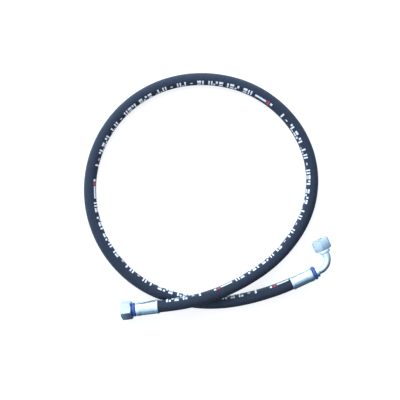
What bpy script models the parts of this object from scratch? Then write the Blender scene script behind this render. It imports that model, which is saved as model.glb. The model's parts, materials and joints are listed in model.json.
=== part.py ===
"""Hydraulic hose assembly: a two-wire-braid 1/2 inch hose lying in one loop on the
floor, with a straight swivel end fitting and a 90 degree elbow swivel end fitting.

Frame: metres, +Z up, z = 0 is the floor. The origin is midway between the two end
fittings. The straight fitting points along -X and dips to the floor; the elbow
fitting lies level and its nut points towards +Y. Each hose end sits in its ferrule,
and every fitting dimension called an "axial" place is measured along the fitting's
axis from the ferrule's mouth, away from the hose.
"""

from math import cos, pi, radians, sin, tan

import bmesh
import bpy
import numpy as np
from mathutils import Matrix, Vector

MM = 0.001

# Driving dimensions of the hose, DN12, in metres
LINER_BORE_RADIUS = 6.35 * MM
LINER_RADIUS = 7.00 * MM
INNER_BRAID_RADIUS = 7.60 * MM
SEPARATOR_RADIUS = 8.05 * MM
OUTER_BRAID_RADIUS = 8.60 * MM
COVER_RADIUS = 10.0 * MM
CRIMPED_COVER_RADIUS = 9.35 * MM
LAYER_GAP = 0.25 * MM
HOSE_SIDES = 10
HOSE_STATION_SPACING = 50 * MM

# Where the two fittings stand: the centre of each ferrule's mouth, and the axis
# that points from there away from the hose
STRAIGHT_MOUTH = Vector((-114.2, -29.8, 24.6)) * MM
STRAIGHT_DIP = radians(9.0)
STRAIGHT_AXIS = Vector((-cos(STRAIGHT_DIP), 0.0, -sin(STRAIGHT_DIP)))
ELBOW_MOUTH = Vector((104.3, -23.9, 15.31)) * MM
ELBOW_HEADING = radians(17.0)
ELBOW_AXIS = Vector((cos(ELBOW_HEADING), sin(ELBOW_HEADING), 0.0))
ELBOW_NUT_AXIS = Vector((-sin(ELBOW_HEADING), cos(ELBOW_HEADING), 0.0))

# Axial places along a fitting
HOSE_END = 31.0 * MM
FERRULE_LENGTH = 37.5 * MM
RING_START = 37.9 * MM
RING_END = 43.6 * MM
NUT_START = 44.0 * MM
NUT_END = 62.0 * MM

# Fitting sections
TAIL_RADIUS = 5.7 * MM
FLUID_BORE_RADIUS = 4.7 * MM
NECK_RADIUS = 8.0 * MM
FERRULE_RADIUS = 11.2 * MM
RING_RADIUS = 11.5 * MM
RING_BORE_RADIUS = 8.4 * MM
ACROSS_FLATS = 27.0 * MM
NUT_TURN = radians(-11.0)
NUT_CHAMFER_RADIUS = 12.9 * MM
NUT_CHAMFER_SLOPE = tan(radians(30.0))
THREAD_BORE_RADIUS = 10.3 * MM
WIRE_RADIUS = 0.8 * MM
WIRE_RING_RADIUS = 8.6 * MM
WIRE_PLACE = 47.6 * MM
SEAL_SECTION_RADIUS = 0.85 * MM
SEAL_RING_RADIUS = 7.75 * MM
SEAL_PLACE = 56.6 * MM
NUT_SIDES = 24
TURNED_SIDES = 18

# Elbow tube: it leaves the tail along the ferrule's axis, turns 90 degrees and
# enters the cone nose. "Nose start" is measured from the tail's axis.
TUBE_RADIUS = 6.0 * MM
TUBE_BORE_RADIUS = 4.3 * MM
SOCKET_RADIUS = 6.3 * MM
TAIL_COLLAR_END = 48.0 * MM
TUBE_START = 45.8 * MM
BEND_RADIUS = 19.0 * MM
BEND_START = 51.75 * MM
NUT_OFFSET = 28.0 * MM
NOSE_START = 22.6 * MM
TUBE_END = 26.6 * MM
COLLAR_RADIUS = 9.0 * MM

# The hose's free route between the two mouths, in millimetres. It rises from the
# straight fitting, passes over itself in a long low hump, comes down to the floor,
# goes once round and climbs slightly into the elbow's ferrule.
ROUTE_MM = [
    (-80, -29.5, 30.1),
    (-39, -26, 29.9),
    (-4.5, -19, 25.2),
    (31, -7.5, 18.6),
    (76, 14.5, 12.4),
    (112, 43, 10.3),
    (142, 81, 10),
    (159.5, 126.5, 10),
    (161.5, 178.5, 10),
    (147.5, 225.5, 10),
    (122.5, 264, 10),
    (78, 301.5, 10),
    (37, 319.5, 10),
    (-8, 328, 10),
    (-63.5, 323.5, 10),
    (-113, 303.5, 10),
    (-155, 269, 10),
    (-180, 233.5, 10),
    (-196.5, 190.5, 10),
    (-201.5, 141, 10),
    (-190.5, 85.5, 10),
    (-168.5, 43.5, 10),
    (-133, 5.5, 10),
    (-92.5, -19, 10),
    (-43, -35, 10),
    (-11, -39, 10),
    (30, -38, 11),
    (68.5, -32.5, 13.6),
]

# Colours are linear RGB; each finish is colour, roughness, metallic
FINISHES = {
    "cover_rubber": ((0.018, 0.020, 0.028), 0.55, 0.0),
    "inner_rubber": ((0.012, 0.012, 0.013), 0.70, 0.0),
    "braid_wire": ((0.55, 0.42, 0.22), 0.35, 1.0),
    "zinc_plate": ((0.70, 0.75, 0.80), 0.28, 1.0),
    "spring_wire": ((0.50, 0.51, 0.53), 0.30, 1.0),
    "blue_plastic": ((0.03, 0.12, 0.55), 0.35, 0.0),
    "seal_rubber": ((0.010, 0.010, 0.011), 0.45, 0.0),
    "braze_alloy": ((0.62, 0.48, 0.25), 0.40, 1.0),
}


def clear_scene():
    for item in list(bpy.data.objects):
        bpy.data.objects.remove(item, do_unlink=True)


def make_finishes():
    finishes = {}
    for name, (colour, roughness, metallic) in FINISHES.items():
        material = bpy.data.materials.new(name)
        material.use_nodes = True
        shader = material.node_tree.nodes["Principled BSDF"]
        shader.inputs["Base Color"].default_value = (*colour, 1.0)
        shader.inputs["Roughness"].default_value = roughness
        shader.inputs["Metallic"].default_value = metallic
        material.diffuse_color = (*colour, 1.0)
        finishes[name] = material
    return finishes


def add_object(name, body, material, placement=None, parent=None):
    """Turn a finished bmesh into a named, smooth-shaded object with one material."""
    bmesh.ops.recalc_face_normals(body, faces=body.faces)
    mesh = bpy.data.meshes.new(name)
    body.to_mesh(mesh)
    body.free()
    mesh.materials.append(material)
    mesh.shade_smooth()
    mesh.set_sharp_from_angle(angle=radians(35.0))
    item = bpy.data.objects.new(name, mesh)
    bpy.context.collection.objects.link(item)
    if parent:
        item.parent = parent
    if placement:
        item.matrix_local = placement
    return item


def add_pivot(name, placement):
    pivot = bpy.data.objects.new(name, None)
    pivot.empty_display_size = 0.02
    pivot.matrix_world = placement
    bpy.context.collection.objects.link(pivot)
    return pivot


def axis_placement(origin, axis):
    """Local +Z along the axis, local +X as near to straight up as it can be."""
    up = Vector((0.0, 0.0, 1.0))
    local_x = (up - axis * up.dot(axis)).normalized()
    local_y = axis.cross(local_x)
    turn = Matrix((local_x, local_y, axis)).transposed().to_4x4()
    return Matrix.Translation(origin) @ turn


# Turned bodies

def turned_body(outline, sides):
    """Revolve a closed outline round Z. outline(angle) gives (radius, z) pairs, so
    a hexagon is an outline whose radius changes with the angle."""
    body = bmesh.new()
    rings = []
    for side in range(sides):
        angle = 2.0 * pi * side / sides
        ring = [body.verts.new((r * cos(angle), r * sin(angle), z)) for r, z in outline(angle)]
        rings.append(ring)
    for side, ring in enumerate(rings):
        following = rings[(side + 1) % sides]
        for here in range(len(ring)):
            after = (here + 1) % len(ring)
            body.faces.new((ring[here], following[here], following[after], ring[after]))
    return body


def circle_outline(centre_radius, centre_z, section_radius, points):
    pairs = []
    for step in range(points):
        angle = 2.0 * pi * (step + 0.5) / points
        pairs.append((centre_radius + section_radius * cos(angle), centre_z + section_radius * sin(angle)))
    return lambda _: pairs


def ferrule_outline(_):
    inside = [
        (7.0 * MM, FERRULE_LENGTH),
        (7.0 * MM, 33.3 * MM),
        (9.7 * MM, 33.3 * MM),
        (9.7 * MM, 3.5 * MM),
        (10.5 * MM, 0.0),
    ]
    outside = [
        (FERRULE_RADIUS - 0.3 * MM, 0.0),
        (FERRULE_RADIUS, 0.6 * MM),
        (FERRULE_RADIUS, 3.0 * MM),
        (FERRULE_RADIUS - 0.3 * MM, 4.5 * MM),
        (FERRULE_RADIUS - 0.3 * MM, 29.5 * MM),
        (FERRULE_RADIUS + 0.2 * MM, 31.5 * MM),
        (FERRULE_RADIUS + 0.2 * MM, 36.7 * MM),
        (FERRULE_RADIUS - 0.6 * MM, FERRULE_LENGTH),
    ]
    return inside + outside


def ring_outline(_):
    edge = 0.4 * MM
    return [
        (RING_BORE_RADIUS, RING_START),
        (RING_RADIUS - edge, RING_START),
        (RING_RADIUS, RING_START + edge),
        (RING_RADIUS, RING_END - edge),
        (RING_RADIUS - edge, RING_END),
        (RING_BORE_RADIUS, RING_END),
    ]


def tail_outline():
    """The barbed tail inside the hose, its shoulder, and the groove that the
    ferrule's back lip locks into; ends on the neck at the ferrule's end face."""
    pairs = [(FLUID_BORE_RADIUS, 2.6 * MM), (5.2 * MM, 2.6 * MM)]
    barb_start, barb_pitch, barb_count = 5.0 * MM, 6.0 * MM, 4
    for barb in range(barb_count):
        place = barb_start + barb * barb_pitch
        pairs.append((TAIL_RADIUS, place))
        pairs.append((TAIL_RADIUS - 0.4 * MM, place + 4.0 * MM))
    pairs += [
        (TAIL_RADIUS, HOSE_END + 0.3 * MM),
        (8.3 * MM, HOSE_END + 0.3 * MM),
        (8.3 * MM, 33.0 * MM),
        (6.7 * MM, 33.0 * MM),
        (6.7 * MM, FERRULE_LENGTH + 0.3 * MM),
        (NECK_RADIUS, FERRULE_LENGTH + 0.3 * MM),
    ]
    return pairs


def nose_outline():
    """From the neck inside the nut: wire groove, thrust shoulder, then the 24
    degree sealing cone with its seal groove, and the nose's end face."""
    cone_slope = tan(radians(12.0))
    cone_start, cone_end, cone_radius = 53.0 * MM, 60.8 * MM, 8.9 * MM

    def cone(place):
        return cone_radius - (place - cone_start) * cone_slope

    groove = 1.1 * MM
    return [
        (NECK_RADIUS, WIRE_PLACE - groove),
        (NECK_RADIUS - 0.5 * MM, WIRE_PLACE - groove),
        (NECK_RADIUS - 0.5 * MM, WIRE_PLACE + groove),
        (NECK_RADIUS, WIRE_PLACE + groove),
        (NECK_RADIUS, 50.8 * MM),
        (9.7 * MM, 50.8 * MM),
        (9.7 * MM, cone_start),
        (cone_radius, cone_start),
        (cone(SEAL_PLACE - groove), SEAL_PLACE - groove),
        (6.6 * MM, SEAL_PLACE - groove),
        (6.6 * MM, SEAL_PLACE + groove),
        (cone(SEAL_PLACE + groove), SEAL_PLACE + groove),
        (cone(cone_end), cone_end),
        (6.9 * MM, cone_end + 0.4 * MM),
        (5.2 * MM, cone_end + 0.4 * MM),
        (FLUID_BORE_RADIUS, cone_end - 0.4 * MM),
    ]


def straight_stem_outline(_):
    return tail_outline() + nose_outline()


def elbow_tail_outline(_):
    collar_start = RING_END + 0.3 * MM
    return tail_outline() + [
        (NECK_RADIUS, collar_start),
        (COLLAR_RADIUS, collar_start),
        (COLLAR_RADIUS, TAIL_COLLAR_END),
        (SOCKET_RADIUS, TAIL_COLLAR_END),
        (SOCKET_RADIUS, TUBE_START - 0.3 * MM),
        (FLUID_BORE_RADIUS, TUBE_START - 0.3 * MM),
    ]


def elbow_nose_outline(_):
    """The elbow's cone nose, in the nut's own axial places: its collar stands
    outside the nut's back and holds the tube in a socket."""
    shift = NUT_START - NUT_OFFSET
    collar_end = NUT_START - 0.4 * MM
    return [
        (FLUID_BORE_RADIUS, TUBE_END + shift + 0.3 * MM),
        (SOCKET_RADIUS, TUBE_END + shift + 0.3 * MM),
        (SOCKET_RADIUS, NOSE_START + shift),
        (COLLAR_RADIUS, NOSE_START + shift),
        (COLLAR_RADIUS, collar_end),
        (NECK_RADIUS, collar_end),
    ] + nose_outline()


def braze_outline(start, direction):
    """A small fillet ring round the tube against a collar's face."""
    height, reach = 1.0 * MM, 1.9 * MM
    return lambda _: [
        (SOCKET_RADIUS, start),
        (SOCKET_RADIUS + reach, start),
        (SOCKET_RADIUS + 0.5 * MM, start + 0.5 * direction * height),
        (SOCKET_RADIUS, start + direction * height),
    ]


def hexagon_radius(angle, across_flats):
    """Distance from the centre to a hexagon's side, with a corner at angle 0."""
    from_flat = (angle % (pi / 3.0)) - pi / 6.0
    return 0.5 * across_flats / cos(from_flat)


def nut_outline(angle):
    """A swivel nut's section at one angle: a bore for the thread, the back lip
    with its wire groove, and a hexagon chamfered at 30 degrees at both ends."""
    groove = 1.1 * MM
    outer = hexagon_radius(angle, ACROSS_FLATS)
    chamfer = (outer - NUT_CHAMFER_RADIUS) * NUT_CHAMFER_SLOPE
    bore = RING_BORE_RADIUS
    return [
        (bore, NUT_START),
        (NUT_CHAMFER_RADIUS, NUT_START),
        (outer, NUT_START + chamfer),
        (outer, NUT_END - chamfer),
        (NUT_CHAMFER_RADIUS, NUT_END),
        (THREAD_BORE_RADIUS + 0.9 * MM, NUT_END),
        (THREAD_BORE_RADIUS, NUT_END - 0.9 * MM),
        (THREAD_BORE_RADIUS, 50.4 * MM),
        (bore, 50.4 * MM),
        (bore, WIRE_PLACE + groove),
        (bore + 1.4 * MM, WIRE_PLACE + groove),
        (bore + 1.4 * MM, WIRE_PLACE - groove),
        (bore, WIRE_PLACE - groove),
    ]


# Swept bodies

def swept_tube(stations, outer_radii, inner_radius, sides):
    """A hollow tube through (point, direction) stations. A corner of each ring is
    straight up, so the tube never twists."""
    up = Vector((0.0, 0.0, 1.0))
    body = bmesh.new()
    walls = []
    for (point, direction), outer_radius in zip(stations, outer_radii):
        side = direction.cross(up).normalized()
        top = side.cross(direction)
        spokes = []
        for step in range(sides):
            angle = 2.0 * pi * step / sides
            spokes.append(top * cos(angle) + side * sin(angle))
        outer = [body.verts.new(point + spoke * outer_radius) for spoke in spokes]
        inner = [body.verts.new(point + spoke * inner_radius) for spoke in spokes]
        walls.append((outer, inner))
    for (outer, inner), (next_outer, next_inner) in zip(walls, walls[1:]):
        for here in range(sides):
            after = (here + 1) % sides
            body.faces.new((outer[here], outer[after], next_outer[after], next_outer[here]))
            body.faces.new((inner[after], inner[here], next_inner[here], next_inner[after]))
    for outer, inner in (walls[0], walls[-1]):
        for here in range(sides):
            after = (here + 1) % sides
            body.faces.new((outer[here], outer[after], inner[after], inner[here]))
    return body


def smooth_curve(points, start_direction, end_direction, steps=12):
    """Dense points on the cubic spline through the given points, with the given
    directions at its two ends."""
    points = np.array(points, dtype=float)
    count = len(points)
    spans = np.linalg.norm(np.diff(points, axis=0), axis=1)
    slopes = np.diff(points, axis=0) / spans[:, None]
    matrix = np.eye(count)
    wanted = np.zeros((count, 3))
    wanted[0] = start_direction
    wanted[-1] = end_direction
    for row in range(1, count - 1):
        before, after = spans[row - 1], spans[row]
        matrix[row, row - 1:row + 2] = (after, 2.0 * (before + after), before)
        wanted[row] = 3.0 * (after * slopes[row - 1] + before * slopes[row])
    tangents = np.linalg.solve(matrix, wanted)
    dense = []
    for part in range(count - 1):
        for step in range(steps):
            t = step / steps
            dense.append(
                (2 * t**3 - 3 * t**2 + 1) * points[part]
                + (t**3 - 2 * t**2 + t) * spans[part] * tangents[part]
                + (3 * t**2 - 2 * t**3) * points[part + 1]
                + (t**3 - t**2) * spans[part] * tangents[part + 1]
            )
    dense.append(points[-1])
    return np.array(dense)


def hose_stations():
    """Evenly spaced stations on the free route, and the straight ends inside the
    two ferrules. The free hose never goes below the floor."""
    into_straight = -STRAIGHT_AXIS
    marks = [STRAIGHT_MOUTH, *(Vector(mark) * MM for mark in ROUTE_MM), ELBOW_MOUTH]
    route = smooth_curve(marks, into_straight, ELBOW_AXIS)
    route[:, 2] = np.maximum(route[:, 2], COVER_RADIUS)
    travelled = np.concatenate(([0.0], np.cumsum(np.linalg.norm(np.diff(route, axis=0), axis=1))))
    count = round(travelled[-1] / HOSE_STATION_SPACING) + 1
    places = np.linspace(0.0, travelled[-1], count)
    middle = [Vector([np.interp(s, travelled, route[:, k]) for k in range(3)]) for s in places]

    crimp = 3.0 * MM
    stations = [(STRAIGHT_MOUTH + STRAIGHT_AXIS * depth, into_straight) for depth in (HOSE_END, crimp, 0.0)]
    for before, point, after in zip(middle, middle[1:], middle[2:]):
        stations.append((point, (after - before).normalized()))
    stations += [(ELBOW_MOUTH + ELBOW_AXIS * depth, ELBOW_AXIS) for depth in (0.0, crimp, HOSE_END)]
    return stations


def make_hose(finishes):
    """Five concentric layers, from the liner out to the cover."""
    stations = hose_stations()
    layers = (
        ("hose_liner", LINER_BORE_RADIUS, LINER_RADIUS, "inner_rubber"),
        ("inner_wire_braid", LINER_RADIUS + LAYER_GAP, INNER_BRAID_RADIUS, "braid_wire"),
        ("braid_separator", INNER_BRAID_RADIUS + LAYER_GAP, SEPARATOR_RADIUS, "inner_rubber"),
        ("outer_wire_braid", SEPARATOR_RADIUS + LAYER_GAP, OUTER_BRAID_RADIUS, "braid_wire"),
        ("hose_cover", OUTER_BRAID_RADIUS + LAYER_GAP, COVER_RADIUS, "cover_rubber"),
    )
    for name, inner_radius, outer_radius, finish in layers:
        radii = [outer_radius] * len(stations)
        if name == "hose_cover":
            for crimped in (0, 1, -2, -1):
                radii[crimped] = CRIMPED_COVER_RADIUS
        tube = swept_tube(stations, radii, inner_radius, HOSE_SIDES)
        add_object(name, tube, finishes[finish])


# End fittings

def make_crimped_end(side, placement, tail_name, tail_shape, finishes):
    """The pieces both ends share: ferrule, barbed tail or stem, marker ring."""
    pieces = (
        (side + "_ferrule", ferrule_outline, "zinc_plate"),
        (tail_name, tail_shape, "zinc_plate"),
        (side + "_marker_ring", ring_outline, "blue_plastic"),
    )
    for name, outline, finish in pieces:
        add_object(name, turned_body(outline, TURNED_SIDES), finishes[finish], placement)


def make_swivel(side, placement, finishes):
    """The nut and the retaining wire that turn together on the nose, and the seal
    that stays on the cone. The pivot's Z axis is the swivel's axis."""
    pivot = add_pivot(side + "_swivel_axis", placement)
    turn = Matrix.Rotation(NUT_TURN, 4, "Z")
    add_object(side + "_swivel_nut", turned_body(nut_outline, NUT_SIDES), finishes["zinc_plate"], turn, pivot)
    wire = circle_outline(WIRE_RING_RADIUS, WIRE_PLACE, WIRE_RADIUS, 6)
    add_object(side + "_retaining_wire", turned_body(wire, TURNED_SIDES), finishes["spring_wire"], turn, pivot)
    seal = circle_outline(SEAL_RING_RADIUS, SEAL_PLACE, SEAL_SECTION_RADIUS, 6)
    add_object(side + "_cone_seal", turned_body(seal, TURNED_SIDES), finishes["seal_rubber"], placement)


def elbow_tube_stations():
    """Straight out of the tail's socket, round the quarter bend, straight into the
    nose's socket."""
    steps = 8
    centre = ELBOW_MOUTH + ELBOW_AXIS * BEND_START + ELBOW_NUT_AXIS * BEND_RADIUS
    stations = [(ELBOW_MOUTH + ELBOW_AXIS * TUBE_START, ELBOW_AXIS)]
    for step in range(steps + 1):
        angle = 0.5 * pi * step / steps
        point = centre + BEND_RADIUS * (ELBOW_AXIS * sin(angle) - ELBOW_NUT_AXIS * cos(angle))
        stations.append((point, ELBOW_AXIS * cos(angle) + ELBOW_NUT_AXIS * sin(angle)))
    tube_top = ELBOW_MOUTH + ELBOW_AXIS * (BEND_START + BEND_RADIUS) + ELBOW_NUT_AXIS * TUBE_END
    stations.append((tube_top, ELBOW_NUT_AXIS))
    return stations


def make_straight_end(finishes):
    placement = axis_placement(STRAIGHT_MOUTH, STRAIGHT_AXIS)
    make_crimped_end("straight", placement, "straight_stem", straight_stem_outline, finishes)
    make_swivel("straight", placement, finishes)


def make_elbow_end(finishes):
    tail_placement = axis_placement(ELBOW_MOUTH, ELBOW_AXIS)
    make_crimped_end("elbow", tail_placement, "elbow_hose_tail", elbow_tail_outline, finishes)

    nose_foot = ELBOW_MOUTH + ELBOW_AXIS * (BEND_START + BEND_RADIUS)
    nose_placement = axis_placement(nose_foot + ELBOW_NUT_AXIS * (NUT_OFFSET - NUT_START), ELBOW_NUT_AXIS)
    add_object("elbow_cone_nose", turned_body(elbow_nose_outline, TURNED_SIDES),
               finishes["zinc_plate"], nose_placement)
    make_swivel("elbow", nose_placement, finishes)

    stations = elbow_tube_stations()
    tube = swept_tube(stations, [TUBE_RADIUS] * len(stations), TUBE_BORE_RADIUS, 16)
    add_object("elbow_tube", tube, finishes["zinc_plate"])

    tail_braze = braze_outline(TAIL_COLLAR_END + 0.3 * MM, 1.0)
    nose_braze = braze_outline(NOSE_START + NUT_START - NUT_OFFSET - 0.3 * MM, -1.0)
    add_object("elbow_tail_braze", turned_body(tail_braze, TURNED_SIDES), finishes["braze_alloy"], tail_placement)
    add_object("elbow_nose_braze", turned_body(nose_braze, TURNED_SIDES), finishes["braze_alloy"], nose_placement)


def main():
    clear_scene()
    finishes = make_finishes()
    make_hose(finishes)
    make_straight_end(finishes)
    make_elbow_end(finishes)


main()
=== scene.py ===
"""Hydraulic hose assembly: a wrapped rubber hose lying in one loop, with a straight
and an elbowed swivel fitting crimped on its ends.

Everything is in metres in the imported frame. Each fitting piece is turned round its
own local Z, which is the fitting's axis; "place" is a distance along that axis from
the ferrule's mouth, away from the hose.
"""

import json
from math import atan, cos, exp, pi, radians, sin, sqrt, tan

import bmesh
import bpy
import numpy as np
from bpy.props import FloatProperty, FloatVectorProperty, IntProperty, PointerProperty
from mathutils import Matrix, Vector


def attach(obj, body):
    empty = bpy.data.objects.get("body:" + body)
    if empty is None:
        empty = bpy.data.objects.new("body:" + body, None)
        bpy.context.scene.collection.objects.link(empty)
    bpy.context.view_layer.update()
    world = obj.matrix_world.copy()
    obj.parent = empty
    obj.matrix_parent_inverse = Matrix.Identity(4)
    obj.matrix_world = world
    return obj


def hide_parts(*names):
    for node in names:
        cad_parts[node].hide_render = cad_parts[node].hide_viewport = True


bl_info = {
    "name": "Hydraulic Hose Assembly",
    "version": (1, 0, 0),
    "blender": (4, 5, 0),
    "location": "View3D > Sidebar > Hose",
    "description": "Builds a crimped hydraulic hose with its swivel fittings and a small studio",
    "category": "Object",
}

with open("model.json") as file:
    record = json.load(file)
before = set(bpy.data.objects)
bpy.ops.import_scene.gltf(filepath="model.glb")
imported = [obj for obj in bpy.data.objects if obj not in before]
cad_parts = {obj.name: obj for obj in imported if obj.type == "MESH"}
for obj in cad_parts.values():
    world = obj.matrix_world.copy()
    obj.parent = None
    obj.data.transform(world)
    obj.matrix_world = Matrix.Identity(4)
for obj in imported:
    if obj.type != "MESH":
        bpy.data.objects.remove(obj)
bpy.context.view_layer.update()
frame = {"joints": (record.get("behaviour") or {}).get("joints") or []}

MM = 0.001
UP = Vector((0.0, 0.0, 1.0))
WHITE = (1.0, 1.0, 1.0, 1.0)
BLACK = (0.0, 0.0, 0.0, 1.0)
MAIN_BODY = "hose_and_stems"
SHARP_ANGLE = radians(38.0)

# Places along a fitting's axis, from the ferrule's mouth
HOSE_END = 31.0 * MM
CRIMP_START = 3.0 * MM
FERRULE_END = 37.5 * MM
RING_START, RING_END = 37.9 * MM, 43.6 * MM
NUT_START, NUT_END = 44.0 * MM, 62.0 * MM
WIRE_PLACE = 47.6 * MM
SEAL_PLACE = 56.6 * MM
GROOVE_HALF = 1.1 * MM

# Radii that a fitting's pieces share
FLUID_BORE = 4.7 * MM
NECK = 8.0 * MM
RING_BORE = 8.4 * MM
COLLAR = 9.0 * MM
SOCKET = 6.3 * MM

# The elbow: tail collar, quarter bend, and the nose's socket above the tail's axis
TAIL_COLLAR_END = 48.0 * MM
TUBE_START = 45.8 * MM
BEND_START = 51.75 * MM
BEND_RADIUS = 19.0 * MM
NOSE_START, TUBE_END, NUT_OFFSET = 22.6 * MM, 26.6 * MM, 28.0 * MM

# The hose's free route between the two ferrules' mouths, in millimetres
ROUTE_MM = [
    (-80, -29.5, 30.1),
    (-39, -26, 29.9),
    (-4.5, -19, 25.2),
    (31, -7.5, 18.6),
    (76, 14.5, 12.4),
    (112, 43, 10.3),
    (142, 81, 10),
    (159.5, 126.5, 10),
    (161.5, 178.5, 10),
    (147.5, 225.5, 10),
    (122.5, 264, 10),
    (78, 301.5, 10),
    (37, 319.5, 10),
    (-8, 328, 10),
    (-63.5, 323.5, 10),
    (-113, 303.5, 10),
    (-155, 269, 10),
    (-180, 233.5, 10),
    (-196.5, 190.5, 10),
    (-201.5, 141, 10),
    (-190.5, 85.5, 10),
    (-168.5, 43.5, 10),
    (-133, 5.5, 10),
    (-92.5, -19, 10),
    (-43, -35, 10),
    (-11, -39, 10),
    (30, -38, 11),
    (68.5, -32.5, 13.6),
]


# Sizes and colours a user may change

class HoseSizes(bpy.types.PropertyGroup):
    """The hose's cover, its wrapping and its printed line"""

    cover_radius: FloatProperty(
        name="Cover radius", description="Outer radius of the rubber cover",
        default=10.0 * MM, unit="LENGTH")
    crimped_radius: FloatProperty(
        name="Crimped radius", description="Cover radius where the ferrule squeezes it",
        default=9.35 * MM, unit="LENGTH")
    wrap_pitch: FloatProperty(
        name="Wrap pitch", description="Advance of the wrapping tape in one turn round the hose",
        default=42.0 * MM, unit="LENGTH")
    wrap_step: FloatProperty(
        name="Wrap step", description="Height of the edge that the wrapping tape leaves in the rubber",
        default=0.10 * MM, unit="LENGTH")
    print_height: FloatProperty(
        name="Print height", description="Height of the printed marks, round the hose",
        default=8.4 * MM, unit="LENGTH")
    sides: IntProperty(
        name="Sides", description="Number of facets round the cover", default=40, min=12)


class FittingSizes(bpy.types.PropertyGroup):
    """Sizes that both end fittings share"""

    ferrule_radius: FloatProperty(
        name="Ferrule radius", description="Radius over the ferrule's crimped part",
        default=10.9 * MM, unit="LENGTH")
    crimp_ridge: FloatProperty(
        name="Crimp ridge", description="Height of the ridges left between the crimping jaws",
        default=0.28 * MM, unit="LENGTH")
    crimp_jaws: IntProperty(
        name="Crimping jaws", description="Number of jaws that squeezed the ferrule", default=8, min=4)
    across_flats: FloatProperty(
        name="Across flats", description="Spanner size of the swivel nuts",
        default=27.0 * MM, unit="LENGTH")
    thread_pitch: FloatProperty(
        name="Thread pitch", description="Pitch of the nuts' inner thread",
        default=1.5 * MM, unit="LENGTH")
    ring_radius: FloatProperty(
        name="Marker ring radius", description="Outer radius of the blue marker rings",
        default=11.5 * MM, unit="LENGTH")
    tube_radius: FloatProperty(
        name="Tube radius", description="Outer radius of the elbow's bent tube",
        default=6.0 * MM, unit="LENGTH")
    sides: IntProperty(
        name="Sides", description="Number of facets round a turned piece", default=96, min=24)


class FinishColours(bpy.types.PropertyGroup):
    """Base colours of the finishes, linear RGB"""

    cover: FloatVectorProperty(
        name="Cover", description="Wrapped rubber of the hose", subtype="COLOR",
        default=(0.017, 0.0235, 0.042))
    print_white: FloatVectorProperty(
        name="Print", description="White ink of the printed line", subtype="COLOR",
        default=(0.86, 0.87, 0.90))
    print_red: FloatVectorProperty(
        name="Print accent", description="Red ink of the printed line", subtype="COLOR",
        default=(0.42, 0.05, 0.06))
    zinc: FloatVectorProperty(
        name="Zinc", description="Bright zinc plate on steel", subtype="COLOR",
        default=(0.76, 0.82, 0.87))
    marker: FloatVectorProperty(
        name="Marker ring", description="Moulded blue plastic", subtype="COLOR",
        default=(0.016, 0.050, 0.260))
    brass_wire: FloatVectorProperty(
        name="Braid wire", description="Brass-coated steel wire of the braids", subtype="COLOR",
        default=(0.55, 0.42, 0.22))
    floor: FloatVectorProperty(
        name="Floor", description="Pale studio floor", subtype="COLOR",
        default=(0.90, 0.91, 0.92))


# Places of the two fittings, read from the frame's swivel joints

def joint_named(name):
    for joint in frame["joints"]:
        if joint["name"] == name:
            return Vector(joint["pos_m"]), Vector(joint["axis"]).normalized()
    raise RuntimeError(f"the frame has no joint named {name}")


def axis_placement(origin, axis):
    """Local +Z along the axis, local +X as near to straight up as it can be."""
    local_x = (UP - axis * UP.dot(axis)).normalized()
    local_y = axis.cross(local_x)
    turn = Matrix((local_x, local_y, axis)).transposed().to_4x4()
    return Matrix.Translation(origin) @ turn


JOINT_PLACE = 0.5 * (NUT_START + NUT_END)
STRAIGHT_PIVOT, STRAIGHT_AXIS = joint_named("straight_nut_swivel")
STRAIGHT_MOUTH = STRAIGHT_PIVOT - STRAIGHT_AXIS * JOINT_PLACE
ELBOW_PIVOT, ELBOW_NUT_AXIS = joint_named("elbow_nut_swivel")
ELBOW_AXIS = ELBOW_NUT_AXIS.cross(UP)
NOSE_FOOT = ELBOW_PIVOT - ELBOW_NUT_AXIS * (JOINT_PLACE - NUT_START + NUT_OFFSET)
ELBOW_MOUTH = NOSE_FOOT - ELBOW_AXIS * (BEND_START + BEND_RADIUS)

AT_STRAIGHT = axis_placement(STRAIGHT_MOUTH, STRAIGHT_AXIS)
AT_ELBOW_TAIL = axis_placement(ELBOW_MOUTH, ELBOW_AXIS)
AT_ELBOW_NOSE = axis_placement(NOSE_FOOT + ELBOW_NUT_AXIS * (NUT_OFFSET - NUT_START), ELBOW_NUT_AXIS)
NUT_TURN = Matrix.Rotation(radians(-11.0), 4, "Z")


# Pieces

def add_piece(name, body, material, placement=None, rides_on=MAIN_BODY, stands_for=()):
    """A finished bmesh becomes a smooth-shaded piece of the object."""
    mesh = bpy.data.meshes.new(name)
    body.to_mesh(mesh)
    body.free()
    mesh.materials.append(material)
    mesh.shade_smooth()
    mesh.set_sharp_from_angle(angle=SHARP_ANGLE)
    piece = bpy.data.objects.new(name, mesh)
    bpy.context.scene.collection.objects.link(piece)
    if placement:
        piece.matrix_world = placement
    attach(piece, rides_on)
    if stands_for:
        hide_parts(*stands_for)
    return piece


def softened(points, amount):
    """A closed outline with each corner cut back by the amount and rounded a little."""
    rounded = []
    for here, point in enumerate(points):
        x, y = point
        cut = []
        for ax, ay in (points[here - 1], points[(here + 1) % len(points)]):
            span = sqrt((ax - x) ** 2 + (ay - y) ** 2)
            share = min(0.4, amount / span)
            cut.append((x + (ax - x) * share, y + (ay - y) * share))
        (px, py), (qx, qy) = cut
        middle = (0.25 * px + 0.5 * x + 0.25 * qx, 0.25 * py + 0.5 * y + 0.25 * qy)
        rounded += [cut[0], middle, cut[1]]
    return rounded


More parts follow.
